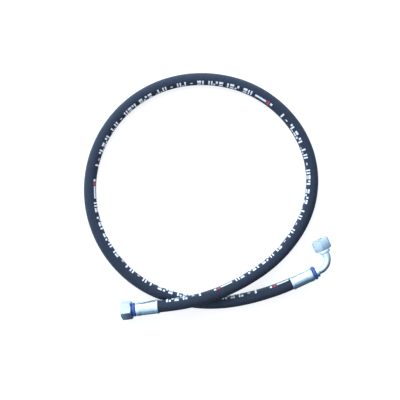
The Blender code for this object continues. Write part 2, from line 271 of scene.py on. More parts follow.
def turned(outline, sides, soften=0.0):
    """Revolve a closed outline round Z. outline(angle) gives (radius, place) pairs."""
    body = bmesh.new()
    rings = []
    for side in range(sides):
        angle = 2.0 * pi * side / sides
        pairs = outline(angle)
        if soften:
            pairs = softened(pairs, soften)
        rings.append([body.verts.new((r * cos(angle), r * sin(angle), z)) for r, z in pairs])
    for side, ring in enumerate(rings):
        following = rings[(side + 1) % sides]
        for here in range(len(ring)):
            after = (here + 1) % len(ring)
            body.faces.new((ring[here], following[here], following[after], ring[after]))
    bmesh.ops.recalc_face_normals(body, faces=body.faces)
    return body


# The hose's line

def smooth_curve(points, start_direction, end_direction, steps=24):
    """Dense points on the cubic spline through the given points, with the given
    directions at its two ends."""
    points = np.array(points, dtype=float)
    count = len(points)
    spans = np.linalg.norm(np.diff(points, axis=0), axis=1)
    slopes = np.diff(points, axis=0) / spans[:, None]
    matrix = np.eye(count)
    wanted = np.zeros((count, 3))
    wanted[0] = start_direction
    wanted[-1] = end_direction
    for row in range(1, count - 1):
        before, after = spans[row - 1], spans[row]
        matrix[row, row - 1:row + 2] = (after, 2.0 * (before + after), before)
        wanted[row] = 3.0 * (after * slopes[row - 1] + before * slopes[row])
    tangents = np.linalg.solve(matrix, wanted)
    dense = []
    for part in range(count - 1):
        for step in range(steps):
            t = step / steps
            dense.append(
                (2 * t**3 - 3 * t**2 + 1) * points[part]
                + (t**3 - 2 * t**2 + t) * spans[part] * tangents[part]
                + (3 * t**2 - 2 * t**3) * points[part + 1]
                + (t**3 - t**2) * spans[part] * tangents[part + 1]
            )
    dense.append(points[-1])
    return np.array(dense)


class HoseLine:
    """The hose's centreline from end face to end face. Travel is measured from the
    straight ferrule's mouth, so it is negative inside that ferrule."""

    def __init__(self, cover_radius):
        marks = [STRAIGHT_MOUTH, *(Vector(mark) * MM for mark in ROUTE_MM), ELBOW_MOUTH]
        free = smooth_curve(marks, -STRAIGHT_AXIS, ELBOW_AXIS)
        free[:, 2] = np.maximum(free[:, 2], cover_radius)
        first_end = STRAIGHT_MOUTH + STRAIGHT_AXIS * HOSE_END
        last_end = ELBOW_MOUTH + ELBOW_AXIS * HOSE_END
        self.dense = np.concatenate(([first_end], free, [last_end]))
        steps = np.linalg.norm(np.diff(self.dense, axis=0), axis=1)
        self.travel = np.concatenate(([0.0], np.cumsum(steps))) - HOSE_END
        self.first = self.travel[0]
        self.last = self.travel[-1]
        self.length = self.last - self.first
        self.free_length = self.length - 2.0 * HOSE_END

    def point(self, travel):
        return Vector([float(np.interp(travel, self.travel, self.dense[:, k])) for k in range(3)])

    def station(self, travel, reach=2.0 * MM):
        """The centre, and the directions to the top and to the loop's inner side."""
        before = self.point(max(travel - reach, self.first))
        after = self.point(min(travel + reach, self.last))
        direction = (after - before).normalized()
        inner_side = UP.cross(direction).normalized()
        top = direction.cross(inner_side)
        return self.point(travel), top, inner_side

    def places(self, spacing):
        """Even places along the whole hose, with the ends and both mouths among them."""
        count = max(1, round(self.free_length / spacing))
        free = np.linspace(0.0, self.free_length, count + 1)
        crimped = [-HOSE_END, -0.5 * HOSE_END, -CRIMP_START]
        far = [self.free_length - depth for depth in reversed(crimped)]
        return [*crimped, *free, *far]


def sweep(line, outer_radius, inner_radius, sides, spacing, map_radius):
    """A hollow tube along the hose's line. outer_radius(travel, angle) is its surface.
    It has a UV map in metres: along the hose, and round it at map_radius from the
    underside."""
    body = bmesh.new()
    uv = body.loops.layers.uv.new("run")
    places = line.places(spacing)
    outer_rings, inner_rings = [], []
    for travel in places:
        centre, top, inner_side = line.station(travel)
        outer, inner = [], []
        for step in range(sides):
            angle = 2.0 * pi * step / sides
            spoke = inner_side * sin(angle) - top * cos(angle)
            outer.append(body.verts.new(centre + spoke * outer_radius(travel, angle)))
            inner.append(body.verts.new(centre + spoke * inner_radius))
        outer_rings.append(outer)
        inner_rings.append(inner)

    round_step = 2.0 * pi * map_radius / sides
    for row in range(len(places) - 1):
        for here in range(sides):
            after = (here + 1) % sides
            for rings, order in ((outer_rings, 1), (inner_rings, -1)):
                near, far = rings[row], rings[row + 1]
                corners = [near[here], near[after], far[after], far[here]]
                runs = [(places[row], here), (places[row], here + 1),
                        (places[row + 1], here + 1), (places[row + 1], here)]
                face = body.faces.new(corners[::order])
                for loop, (travel, step) in zip(face.loops, runs[::order]):
                    loop[uv].uv = (travel, step * round_step)
    for row in (0, -1):
        for here in range(sides):
            after = (here + 1) % sides
            body.faces.new((outer_rings[row][here], outer_rings[row][after],
                            inner_rings[row][after], inner_rings[row][here]))
    bmesh.ops.recalc_face_normals(body, faces=body.faces)
    return body


# Shader building

def add_node(tree, kind, inputs=None, **settings):
    """A node with its settings; an input is a value, or a socket to link from."""
    node = tree.nodes.new(kind)
    for name, value in settings.items():
        setattr(node, name, value)
    for name, value in (inputs or {}).items():
        feed(tree, node.inputs[name], value)
    return node


def feed(tree, socket, value):
    if isinstance(value, bpy.types.NodeSocket):
        tree.links.new(value, socket)
    else:
        socket.default_value = value


def maths(tree, operation, *values):
    node = tree.nodes.new("ShaderNodeMath")
    node.operation = operation
    for socket, value in zip(node.inputs, values):
        feed(tree, socket, value)
    return node.outputs["Value"]


def stretched(tree, vector, scale):
    """The vector with each part multiplied by its own scale."""
    node = add_node(tree, "ShaderNodeVectorMath", operation="MULTIPLY")
    feed(tree, node.inputs[0], vector)
    feed(tree, node.inputs[1], scale)
    return node.outputs["Vector"]


def shaped(tree, value, low, high, out_low=0.0, out_high=1.0):
    node = add_node(tree, "ShaderNodeMapRange", {
        "Value": value, "From Min": low, "From Max": high, "To Min": out_low, "To Max": out_high})
    return node.outputs["Result"]


def mixed(tree, factor, first, second):
    node = add_node(tree, "ShaderNodeMix", data_type="RGBA")
    colour_inputs = [socket for socket in node.inputs if socket.type == "RGBA"]
    feed(tree, node.inputs["Factor"], factor)
    for socket, value in zip(colour_inputs, (first, second)):
        feed(tree, socket, value)
    return [socket for socket in node.outputs if socket.type == "RGBA"][0]


def noise(tree, vector, scale, detail=4.0, roughness=0.55):
    node = add_node(tree, "ShaderNodeTexNoise", {
        "Vector": vector, "Scale": scale, "Detail": detail, "Roughness": roughness})
    return node.outputs["Fac"]


def new_group(name, inputs, outputs):
    """An empty shader group with float or vector sockets: (name, socket type, default)."""
    group = bpy.data.node_groups.new(name, "ShaderNodeTree")
    for label, kind, default in inputs:
        socket = group.interface.new_socket(label, in_out="INPUT", socket_type=kind)
        if default is not None:
            socket.default_value = default
    for label, kind in outputs:
        group.interface.new_socket(label, in_out="OUTPUT", socket_type=kind)
    return group, group.nodes.new("NodeGroupInput").outputs, group.nodes.new("NodeGroupOutput").inputs


def grain_group():
    """Two sizes of soft blotches, for the small changes of tone in any surface."""
    group, given, out = new_group(
        "surface_grain",
        [("Vector", "NodeSocketVector", None), ("Scale", "NodeSocketFloat", 60.0)],
        [("Blotch", "NodeSocketFloat"), ("Speck", "NodeSocketFloat")])
    blotch = noise(group, given["Vector"], given["Scale"], detail=3.0)
    fine_scale = maths(group, "MULTIPLY", given["Scale"], 22.0)
    speck = noise(group, given["Vector"], fine_scale, detail=6.0, roughness=0.7)
    group.links.new(shaped(group, blotch, 0.34, 0.66), out["Blotch"])
    group.links.new(shaped(group, speck, 0.30, 0.70), out["Speck"])
    return group


def scratches_group():
    """Thin streaks that follow the surface, each from noise stretched one way."""
    group, given, out = new_group(
        "handling_scratches",
        [("Vector", "NodeSocketVector", None), ("Scale", "NodeSocketFloat", 90.0),
         ("Share", "NodeSocketFloat", 0.12)],
        [("Scratch", "NodeSocketFloat")])
    streaks = []
    for stretch in ((1.0, 14.0, 0.7), (11.0, 1.2, 0.5)):
        streak = noise(group, stretched(group, given["Vector"], stretch), given["Scale"], detail=2.0)
        edge = maths(group, "ABSOLUTE", maths(group, "SUBTRACT", streak, 0.5))
        limit = maths(group, "MULTIPLY", given["Share"], 0.06)
        fade = maths(group, "SMOOTH_MIN", maths(group, "DIVIDE", edge, limit), 1.0, 0.2)
        streaks.append(maths(group, "SUBTRACT", 1.0, fade))
    where = shaped(group, noise(group, given["Vector"], 70.0), 0.50, 0.62)
    both = maths(group, "MAXIMUM", streaks[0], streaks[1])
    group.links.new(maths(group, "MULTIPLY", both, where), out["Scratch"])
    return group


def weave_group():
    """Two crossing sets of threads from a flat pair of coordinates in metres."""
    group, given, out = new_group(
        "crossed_threads",
        [("Vector", "NodeSocketVector", None), ("Pitch", "NodeSocketFloat", 0.8 * MM),
         ("Slope", "NodeSocketFloat", 1.0)],
        [("Height", "NodeSocketFloat")])
    parts = add_node(group, "ShaderNodeSeparateXYZ", {"Vector": given["Vector"]}).outputs
    rise = maths(group, "MULTIPLY", parts["Y"], given["Slope"])
    turns = maths(group, "DIVIDE", 2.0 * pi, given["Pitch"])
    waves = []
    for operation in ("ADD", "SUBTRACT"):
        across = maths(group, "MULTIPLY", maths(group, operation, parts["X"], rise), turns)
        waves.append(maths(group, "SINE", across))
    over = shaped(group, maths(group, "MULTIPLY", waves[0], waves[1]), -0.25, 0.25)
    first = maths(group, "ABSOLUTE", waves[0])
    second = maths(group, "ABSOLUTE", waves[1])
    height = add_node(group, "ShaderNodeMix", {"Factor": over}, data_type="FLOAT")
    feed(group, height.inputs["A"], first)
    feed(group, height.inputs["B"], second)
    group.links.new(height.outputs["Result"], out["Height"])
    return group


def turning_group():
    """Fine rings that a lathe tool leaves, along local Z, uneven from ring to ring."""
    group, given, out = new_group(
        "turning_marks",
        [("Vector", "NodeSocketVector", None), ("Pitch", "NodeSocketFloat", 0.22 * MM)],
        [("Height", "NodeSocketFloat")])
    along = add_node(group, "ShaderNodeSeparateXYZ", {"Vector": given["Vector"]}).outputs["Z"]
    turns = maths(group, "DIVIDE", along, given["Pitch"])
    ring = maths(group, "SINE", maths(group, "MULTIPLY", turns, 2.0 * pi))
    uneven = add_node(group, "ShaderNodeTexNoise", {"W": turns, "Scale": 0.9, "Detail": 2.0},
                      noise_dimensions="1D").outputs["Fac"]
    group.links.new(maths(group, "MULTIPLY", ring, uneven), out["Height"])
    return group


GROUP_MAKERS = {
    "surface_grain": grain_group,
    "handling_scratches": scratches_group,
    "crossed_threads": weave_group,
    "turning_marks": turning_group,
}


def group_node(tree, name, inputs):
    """One of the shared groups, placed in a material with its own values."""
    group = bpy.data.node_groups.get(name) or GROUP_MAKERS[name]()
    return add_node(tree, "ShaderNodeGroup", inputs, node_tree=group)


def new_finish(name, roughness, metallic=0.0, **constants):
    """A material, its node tree and its shader's inputs. Each further constant is named
    for its input, with _ for a space."""
    material = bpy.data.materials.new(name)
    material.use_nodes = True
    tree = material.node_tree
    shader = tree.nodes["Principled BSDF"]
    shader.inputs["Roughness"].default_value = roughness
    shader.inputs["Metallic"].default_value = metallic
    for label, value in constants.items():
        shader.inputs[label.replace("_", " ")].default_value = value
    return material, tree, shader.inputs


def coordinates(tree, kind="Object"):
    return tree.nodes.new("ShaderNodeTexCoord").outputs[kind]


def run_coordinates(tree):
    """The hose's own UV map: metres along it and round it."""
    return add_node(tree, "ShaderNodeUVMap", uv_map="run").outputs["UV"]


def bump(tree, inputs, height, distance, strength=1.0):
    node = add_node(tree, "ShaderNodeBump", {"Height": height, "Distance": distance, "Strength": strength})
    tree.links.new(node.outputs["Normal"], inputs["Normal"])


def rgba(colour, gain=1.0):
    return (*(min(1.0, part * gain) for part in colour), 1.0)


# Finishes

# Tints that the finishes mix in, linear RGB
BLOOM_TINT = (0.026, 0.039, 0.073)
SEAM_TINT = (0.060, 0.075, 0.105)
HANDLED_TINT = (0.070, 0.077, 0.10)
SCUFFED_BLUE = (0.30, 0.40, 0.70)
BRIGHT_BRAZE = (0.76, 0.78, 0.80)
WARM_BRAZE = (0.66, 0.58, 0.40)
WORN_WHITE_INK = (0.55, 0.57, 0.62)
WORN_RED_INK = (0.20, 0.05, 0.06)
INNER_RUBBER_TONES = (0.010, 0.010, 0.011), (0.022, 0.022, 0.024)
SEAL_RUBBER_TONES = (0.008, 0.008, 0.009), (0.018, 0.018, 0.020)
SPRING_WIRE_TONES = (0.50, 0.51, 0.53), (0.40, 0.40, 0.41)
WRAP_EDGE_SHARE = 0.03


def wrap_edge(tree, run):
    """1 along the helical edge that the wrapping tape leaves, falling to 0 beside it."""
    sizes = bpy.context.scene.hose_sizes
    parts = add_node(tree, "ShaderNodeSeparateXYZ", {"Vector": run}).outputs
    along = maths(tree, "DIVIDE", parts["X"], sizes.wrap_pitch)
    around = maths(tree, "DIVIDE", parts["Y"], 2.0 * pi * sizes.cover_radius)
    turns = maths(tree, "FRACT", maths(tree, "ADD", along, around))
    return shaped(tree, turns, 0.0, WRAP_EDGE_SHARE, 1.0, 0.0)


def make_cover_rubber(colours):
    """Cloth-wrapped rubber: a fine woven imprint with painted shade in its hollows, the
    wrapping's edge, faint bloom and handling marks."""
    material, tree, shader = new_finish("cover_rubber", 0.5, Specular_IOR_Level=0.28)
    run = run_coordinates(tree)
    grain = group_node(tree, "surface_grain", {"Vector": coordinates(tree), "Scale": 38.0}).outputs
    threads = group_node(tree, "crossed_threads", {"Vector": run, "Pitch": 1.3 * MM, "Slope": 1.0}).outputs
    edge = wrap_edge(tree, run)
    bloom = mixed(tree, maths(tree, "MULTIPLY", grain["Blotch"], 0.5),
                  rgba(colours.cover, 1.1), rgba(BLOOM_TINT))
    # Painted shade: where the threads' imprint is low, the colour darkens, as if shaded in its hollows
    hollow = maths(tree, "SUBTRACT", 1.0, threads["Height"])
    woven = mixed(tree, maths(tree, "MULTIPLY", hollow, 0.7), bloom, rgba(colours.cover, 0.35))
    seamed = mixed(tree, maths(tree, "MULTIPLY", edge, 0.5), woven, rgba(SEAM_TINT))
    worn = mixed(tree, maths(tree, "MULTIPLY", grain["Speck"], 0.18), seamed, rgba(HANDLED_TINT))
    tree.links.new(worn, shader["Base Color"])
    tree.links.new(shaped(tree, grain["Blotch"], 0.0, 1.0, 0.40, 0.54), shader["Roughness"])
    height = maths(tree, "ADD", threads["Height"], maths(tree, "MULTIPLY", grain["Speck"], 0.6))
    bump(tree, shader, maths(tree, "ADD", height, edge), 0.16 * MM)
    return material


def make_two_tone(name, tones, roughness, metallic, scale, depth):
    """Two close tones in soft blotches, over a fine grain of the given depth."""
    material, tree, shader = new_finish(name, roughness, metallic)
    grain = group_node(tree, "surface_grain", {"Vector": coordinates(tree), "Scale": scale}).outputs
    first, second = tones
    tree.links.new(mixed(tree, grain["Blotch"], rgba(first), rgba(second)), shader["Base Color"])
    bump(tree, shader, grain["Speck"], depth)
    return material


def make_braid_wire(colours):
    """Crossing bands of brass-coated wire, with the finer wires inside each band; painted shade darkens the
    gaps between the bands.
    """
    material, tree, shader = new_finish("braid_wire", 0.35, 1.0)
    run = run_coordinates(tree)
    bands = group_node(tree, "crossed_threads", {"Vector": run, "Pitch": 4.4 * MM, "Slope": 1.38}).outputs
    wires = group_node(tree, "crossed_threads", {"Vector": run, "Pitch": 0.55 * MM, "Slope": 1.38}).outputs
    # Painted shade: the wire's colour falls to a third in the gaps between the bands
    tone = mixed(tree, bands["Height"], rgba(colours.brass_wire, 0.35), rgba(colours.brass_wire))
    tree.links.new(tone, shader["Base Color"])
    height = maths(tree, "ADD", bands["Height"], maths(tree, "MULTIPLY", wires["Height"], 0.3))
    bump(tree, shader, height, 0.2 * MM)
    return material


def make_ink(name, colour, worn_colour):
    """Matt ink, thinned to its worn colour in fine specks."""
    material, tree, shader = new_finish(name, 0.55)
    grain = group_node(tree, "surface_grain", {"Vector": coordinates(tree), "Scale": 120.0}).outputs
    worn = mixed(tree, maths(tree, "MULTIPLY", grain["Speck"], 0.35), rgba(colour), rgba(worn_colour))
    tree.links.new(worn, shader["Base Color"])
    bump(tree, shader, grain["Speck"], 0.02 * MM)
    return material


def make_zinc(name, colours, turning_depth, roughness, shade=1.0):
    """Zinc plate with a cool cast, over turned, pressed or drawn steel, with handling
    scratches. A shade below 1 darkens all of the plate's colour."""
    material, tree, shader = new_finish(name, roughness, 1.0)
    place = coordinates(tree)
    grain = group_node(tree, "surface_grain", {"Vector": place, "Scale": 95.0}).outputs
    scratch = group_node(tree, "handling_scratches",
                         {"Vector": place, "Scale": 120.0, "Share": 0.5}).outputs
    rings = group_node(tree, "turning_marks", {"Vector": place, "Pitch": 0.24 * MM}).outputs
    cast = mixed(tree, grain["Blotch"], rgba(colours.zinc, shade), rgba(colours.zinc, 0.86 * shade))
    scratched = maths(tree, "MULTIPLY", scratch["Scratch"], 0.4)
    dulled = mixed(tree, scratched, cast, rgba(colours.zinc, 0.55 * shade))
    tree.links.new(dulled, shader["Base Color"])
    rough = shaped(tree, grain["Blotch"], 0.0, 1.0, roughness - 0.05, roughness + 0.07)
    tree.links.new(maths(tree, "ADD", rough, maths(tree, "MULTIPLY", scratch["Scratch"], 0.12)),
                   shader["Roughness"])
    height = maths(tree, "ADD", maths(tree, "MULTIPLY", rings["Height"], turning_depth),
                   maths(tree, "MULTIPLY", grain["Speck"], 0.25))
    bump(tree, shader, height, 0.02 * MM, 0.7)
    return material


def make_marker_plastic(colours):
    """Glossy moulded blue with a few pale scuffs."""
    material, tree, shader = new_finish("marker_plastic", 0.28, Coat_Weight=0.6, Coat_Roughness=0.16)
    place = coordinates(tree)
    grain = group_node(tree, "surface_grain", {"Vector": place, "Scale": 130.0}).outputs
    scratch = group_node(tree, "handling_scratches",
                         {"Vector": place, "Scale": 150.0, "Share": 0.4}).outputs
    tone = mixed(tree, grain["Blotch"], rgba(colours.marker), rgba(colours.marker, 1.25))
    scuffed = mixed(tree, maths(tree, "MULTIPLY", scratch["Scratch"], 0.25), tone, rgba(SCUFFED_BLUE))
    tree.links.new(scuffed, shader["Base Color"])
    tree.links.new(shaped(tree, grain["Blotch"], 0.0, 1.0, 0.26, 0.38), shader["Roughness"])
    bump(tree, shader, grain["Speck"], 0.02 * MM)
    return material


def make_braze(_):
    """A plated-over braze fillet: still bright, with a warm cast in soft blotches."""
    material, tree, shader = new_finish("braze_fillet", 0.35, 1.0)
    grain = group_node(tree, "surface_grain", {"Vector": coordinates(tree), "Scale": 260.0}).outputs
    tone = mixed(tree, grain["Blotch"], rgba(BRIGHT_BRAZE), rgba(WARM_BRAZE))
    tree.links.new(tone, shader["Base Color"])
    tree.links.new(shaped(tree, grain["Speck"], 0.0, 1.0, 0.28, 0.5), shader["Roughness"])
    bump(tree, shader, grain["Blotch"], 0.12 * MM)
    return material


def make_floor_paint(colours):
    """Lit from within to the eye, so that only contact shadows show, and left out of
    mirror images, so that the metal reflects the studio's air."""
    seen_darkening, seen_glow = 0.55, 0.78
    material, tree, shader = new_finish("studio_floor", 0.9, Specular_IOR_Level=0.0, Emission_Color=WHITE)
    grain = group_node(tree, "surface_grain", {"Vector": coordinates(tree), "Scale": 3.0}).outputs
    tone = mixed(tree, maths(tree, "MULTIPLY", grain["Blotch"], 0.3),
                 rgba(colours.floor), rgba(colours.floor, 0.985))
    ray = tree.nodes.new("ShaderNodeLightPath").outputs
    darker = maths(tree, "MULTIPLY", ray["Is Camera Ray"], seen_darkening)
    tree.links.new(mixed(tree, darker, tone, BLACK), shader["Base Color"])
    tree.links.new(maths(tree, "MULTIPLY", ray["Is Camera Ray"], seen_glow), shader["Emission Strength"])
    tree.links.new(maths(tree, "SUBTRACT", 1.0, ray["Is Glossy Ray"]), shader["Alpha"])
    return material


FINISH_MAKERS = {
    "cover_rubber": make_cover_rubber,
    "inner_rubber": lambda _: make_two_tone("inner_rubber", INNER_RUBBER_TONES, 0.7, 0.0, 80.0, 0.03 * MM),
    "braid_wire": make_braid_wire,
    "print_white": lambda c: make_ink("print_white", c.print_white, WORN_WHITE_INK),
    "print_red": lambda c: make_ink("print_red", c.print_red, WORN_RED_INK),
    "turned_zinc": lambda c: make_zinc("turned_zinc", c, 0.8, 0.24),
    "nut_zinc": lambda c: make_zinc("nut_zinc", c, 0.5, 0.20, 0.72),
    "crimped_zinc": lambda c: make_zinc("crimped_zinc", c, 0.25, 0.30),
    "drawn_zinc": lambda c: make_zinc("drawn_zinc", c, 0.0, 0.26),
    "marker_plastic": make_marker_plastic,
    "seal_rubber": lambda _: make_two_tone("seal_rubber", SEAL_RUBBER_TONES, 0.42, 0.0, 200.0, 0.01 * MM),
    "spring_wire": lambda _: make_two_tone("spring_wire", SPRING_WIRE_TONES, 0.3, 1.0, 150.0, 0.01 * MM),
    "braze_fillet": make_braze,
    "studio_floor": make_floor_paint,
}


def finish(name):
    """The material of that name, made when it is first asked for."""
    return bpy.data.materials.get(name) or FINISH_MAKERS[name](bpy.context.scene.hose_colours)


# Stage

class HOSE_OT_stage(bpy.types.Operator):
    """Add the camera above the loop, the soft lights and the pale floor"""

    bl_idname = "hose.stage"
    bl_label = "Stage"

    CAMERA_PLACE = Vector((-24.3, 131.4, 1600.0)) * MM
    CAMERA_ROLL = radians(-8.0)
    VIEW_WIDTH = 652.0 * MM
    VIEW_LEVEL = 12.0 * MM
    AIR_COLOUR = (0.68, 0.84, 1.0, 1.0)
    DIM_COLOUR = (0.42, 0.70, 1.0, 1.0)
    FILL_COLOUR = (1.0, 0.88, 0.95, 1.0)
    BRIGHT_SIDE = Vector((-0.48, 0.80, 0.24)).normalized()
    # How far towards the bright side the air's dim and bright ends lie, and their strengths
    MIRRORED_RANGE, MIRRORED_STRENGTH = (-0.95, 0.75), (0.12, 2.50)
    SCATTERED_RANGE, SCATTERED_STRENGTH = (-0.90, 0.95), (0.24, 1.25)
    SEEN_STRENGTH = 1.0
    KEY_PLACE = Vector((-0.2, 1.0, 0.85))
    KEY_TARGET = Vector((0.0, 0.2, 0.0))
    KEY_WIDTH = 0.8
    KEY_POWER = 15.0
    FLOOR_REACH = 12.0

    def execute(self, context):
        self.add_camera(context)
        self.add_lights(context)
        self.add_floor(context)
        return {"FINISHED"}

    def add_camera(self, context):
        data = bpy.data.cameras.new("studio_camera")
        distance = self.CAMERA_PLACE.z - self.VIEW_LEVEL
        data.lens = data.sensor_width * distance / self.VIEW_WIDTH
        camera = bpy.data.objects.new("studio_camera", data)
        camera.location = self.CAMERA_PLACE
        camera.rotation_euler = (0.0, 0.0, self.CAMERA_ROLL)
        context.scene.collection.objects.link(camera)
        context.scene.camera = camera
        context.scene.view_settings.view_transform = "Standard"

    def add_lights(self, context):
        world = bpy.data.worlds.new("studio_air")
        world.use_nodes = True
        context.scene.world = world
        self.shade_air(world.node_tree)
        data = bpy.data.lights.new("soft_key", "AREA")
        data.size = self.KEY_WIDTH
        data.energy = self.KEY_POWER
        data.color = self.AIR_COLOUR[:3]
        light = bpy.data.objects.new("soft_key", data)
        light.location = self.KEY_PLACE
        light.rotation_euler = (self.KEY_TARGET - self.KEY_PLACE).to_track_quat("-Z", "Y").to_euler()
        light.visible_glossy = False
        context.scene.collection.objects.link(light)

    def shade_air(self, tree):
        """White to the eye. In mirror images it is bright from the far left and dim and
        bluer from the near right; as diffuse light it changes less."""
        towards = add_node(tree, "ShaderNodeVectorMath", operation="DOT_PRODUCT")
        feed(tree, towards.inputs[0], coordinates(tree, "Generated"))
        feed(tree, towards.inputs[1], self.BRIGHT_SIDE)
        side = towards.outputs["Value"]
        dim_end, bright_end = self.MIRRORED_RANGE
        share = add_node(tree, "ShaderNodeMapRange",
                         {"Value": side, "From Min": dim_end, "From Max": bright_end},
                         interpolation_type="SMOOTHSTEP").outputs["Result"]
        ray = tree.nodes.new("ShaderNodeLightPath").outputs
        strength = shaped(tree, share, 0.0, 1.0, *self.MIRRORED_STRENGTH)
        scattered_strength = shaped(tree, side, *self.SCATTERED_RANGE, *self.SCATTERED_STRENGTH)
        for kind, other in (("Is Diffuse Ray", scattered_strength), ("Is Camera Ray", self.SEEN_STRENGTH)):
            choice = add_node(tree, "ShaderNodeMix", {"Factor": ray[kind]}, data_type="FLOAT")
            feed(tree, choice.inputs["A"], strength)
            feed(tree, choice.inputs["B"], other)
            strength = choice.outputs["Result"]
        mirrored = mixed(tree, share, self.DIM_COLOUR, self.AIR_COLOUR)
        scattered = mixed(tree, share, self.FILL_COLOUR, self.AIR_COLOUR)
        tint = mixed(tree, ray["Is Diffuse Ray"], mirrored, scattered)
        tint = mixed(tree, ray["Is Camera Ray"], tint, WHITE)
        air = tree.nodes["Background"].inputs
        tree.links.new(tint, air["Color"])
        tree.links.new(strength, air["Strength"])

    def add_floor(self, context):
        body = bmesh.new()
        bmesh.ops.create_grid(body, x_segments=2, y_segments=2, size=self.FLOOR_REACH)
        mesh = bpy.data.meshes.new("studio_floor")
        body.to_mesh(mesh)
        body.free()
        mesh.materials.append(finish("studio_floor"))
        floor = bpy.data.objects.new("studio_floor", mesh)
        context.scene.collection.objects.link(floor)


# Hose

class HOSE_OT_layers(bpy.types.Operator):
    """Build the hose from its liner out to its wrapped cover, with the printed line"""

    bl_idname = "hose.layers"
    bl_label = "Hose and printed line"

    # Inner layers: piece, node it stands for, inner and outer radius, and finish
    LAYERS = (
        ("liner_tube", "hose_liner", 6.35 * MM, 7.00 * MM, "inner_rubber"),
        ("inner_braid_sleeve", "inner_wire_braid", 7.25 * MM, 7.60 * MM, "braid_wire"),
        ("separator_sleeve", "braid_separator", 7.85 * MM, 8.05 * MM, "inner_rubber"),
        ("outer_braid_sleeve", "outer_wire_braid", 8.30 * MM, 8.60 * MM, "braid_wire"),
    )
    LAYER_SIDES = 20
    COVER_BORE = 8.85 * MM
    LAYER_SPACING, COVER_SPACING, PATH_SPACING = 10.0 * MM, 4.0 * MM, 5.0 * MM

    # One repeat of the printed line: groups of marks with a blank after each group
    GROUPS = (
        "hd", "xdb", "dxh", "bd", "-", "bth", "-", "htbt",
        "dxd", "qdh", "-", "htbt", "bxdtq", "-", "b",
    )
    BLANK = 0.6
    # Marks are bars, each (left, right, bottom, top), in a cell 1 wide and 1 high
    MARKS = {
        "h": ((0.04, 0.30, 0.0, 1.0), (0.56, 0.82, 0.0, 1.0)),
        "q": ((0.04, 0.34, 0.0, 1.0), (0.50, 0.84, 0.56, 1.0)),
        "d": ((0.06, 0.80, 0.58, 1.0), (0.06, 0.80, 0.0, 0.36)),
        "x": ((0.06, 0.42, 0.54, 1.0), (0.50, 0.86, 0.0, 0.46)),
        "b": ((0.08, 0.38, 0.0, 1.0),),
        "t": ((0.06, 0.34, 0.0, 0.26),),
        "-": ((0.06, 0.52, 0.40, 0.62),),
    }
    # The marks whose cells are narrower
    WIDTHS = {"b": 0.52, "t": 0.46, "-": 0.66}
    # Where the printed line runs round the hose: share of its length, degrees from the top
    PRINT_ANGLES = (
        (0.0, 62), (0.08, 61), (0.13, 63), (0.21, 57), (0.28, 44), (0.34, 39), (0.39, 39), (0.46, 47),
        (0.55, 51), (0.62, 54), (0.70, 61), (0.76, 62), (0.81, 58), (0.93, 56), (1.0, 60),
    )
    # Travel in metres of each red block; the marks run from one block to the next
    BADGES = (-0.304, 0.102, 0.508, 0.902, 1.322, 1.728)
    MARKS_AFTER_BADGE, MARKS_BEFORE_BADGE = 31.0 * MM, 24.0 * MM
    # A badge's bars: start and end along the hose from the badge's place, and low and
    # high shares of the print's height
    RED_BLOCK = (-2.6 * MM, 2.6 * MM, 0.1, 0.95)
    WHITE_FLAG = (-8.0 * MM, -4.2 * MM, 0.45, 0.9)
    WHITE_BAR = (4.0 * MM, 25.0 * MM, 0.35, 0.75)
    INK_THICKNESS = 0.05 * MM
    INK_MARGIN = 2.0 * MM
    SHORTEST_BAR = 1.0 * MM
    INK_STEP_ALONG, INK_STEP_ROUND = 1.5 * MM, 1.0 * MM

    def execute(self, context):
        sizes = context.scene.hose_sizes
        line = HoseLine(sizes.cover_radius)
        on_it = self.add_print(line, sizes)
        for name, node, inner, outer, look in self.LAYERS:
            tube = sweep(line, lambda travel, angle, r=outer: r, inner, self.LAYER_SIDES,
                         self.LAYER_SPACING, outer)
            on_it.append(add_piece(name, tube, finish(look), stands_for=[node]))
        cover = self.add_cover(line, sizes)
        return {"FINISHED"}

    def add_cover(self, line, sizes):
        """The cover, squeezed inside the ferrules, with the wrapping's step round it."""
        def surface(travel, angle):
            inside = max(-travel, travel - line.free_length)
            if inside > 0.0:
                share = min(1.0, inside / CRIMP_START)
                return sizes.cover_radius + (sizes.crimped_radius - sizes.cover_radius) * share
            turns = travel / sizes.wrap_pitch + angle / (2.0 * pi)
            return sizes.cover_radius - sizes.wrap_step * (turns % 1.0)

        tube = sweep(line, surface, self.COVER_BORE, sizes.sides, self.COVER_SPACING, sizes.cover_radius)
        return add_piece("wrapped_cover", tube, finish("cover_rubber"),
                         stands_for=["hose_cover"])

    def add_print(self, line, sizes):
        """The printed line as thin ink patches that follow the cover."""
        white, red = bmesh.new(), bmesh.new()
        for badge, following in zip(self.BADGES, self.BADGES[1:]):
            self.print_badge(white, red, line, sizes, badge)
            self.print_marks(white, line, sizes, badge + self.MARKS_AFTER_BADGE,
                             following - self.MARKS_BEFORE_BADGE)
        pieces = []
        for name, ink, look in (
                ("printed_marks", white, "print_white"), ("printed_accents", red, "print_red")):
            bmesh.ops.recalc_face_normals(ink, faces=ink.faces)
            pieces.append(add_piece(name, ink, finish(look)))
        return pieces

    def print_badge(self, white, red, line, sizes, badge):
        """A red block with a short white flag before it and a long white bar after it."""
        for ink, bar in ((red, self.RED_BLOCK), (white, self.WHITE_FLAG), (white, self.WHITE_BAR)):
            start, end, low, high = bar
            self.print_bar(ink, line, sizes, badge + start, badge + end, low, high)

    def print_marks(self, ink, line, sizes, start, end):
        """The groups of marks, spread evenly from start to end."""
        widths = [sum(self.WIDTHS.get(mark, 1.0) for mark in group) for group in self.GROUPS]
        cell = (end - start) / (sum(widths) + self.BLANK * len(widths))
        for group, width in zip(self.GROUPS, widths):
            travel = start
            for mark in group:
                for left, right, low, high in self.MARKS[mark]:
                    self.print_bar(ink, line, sizes, travel + left * cell, travel + right * cell,
                                   low, high)
                travel += self.WIDTHS.get(mark, 1.0) * cell
            start += (width + self.BLANK) * cell

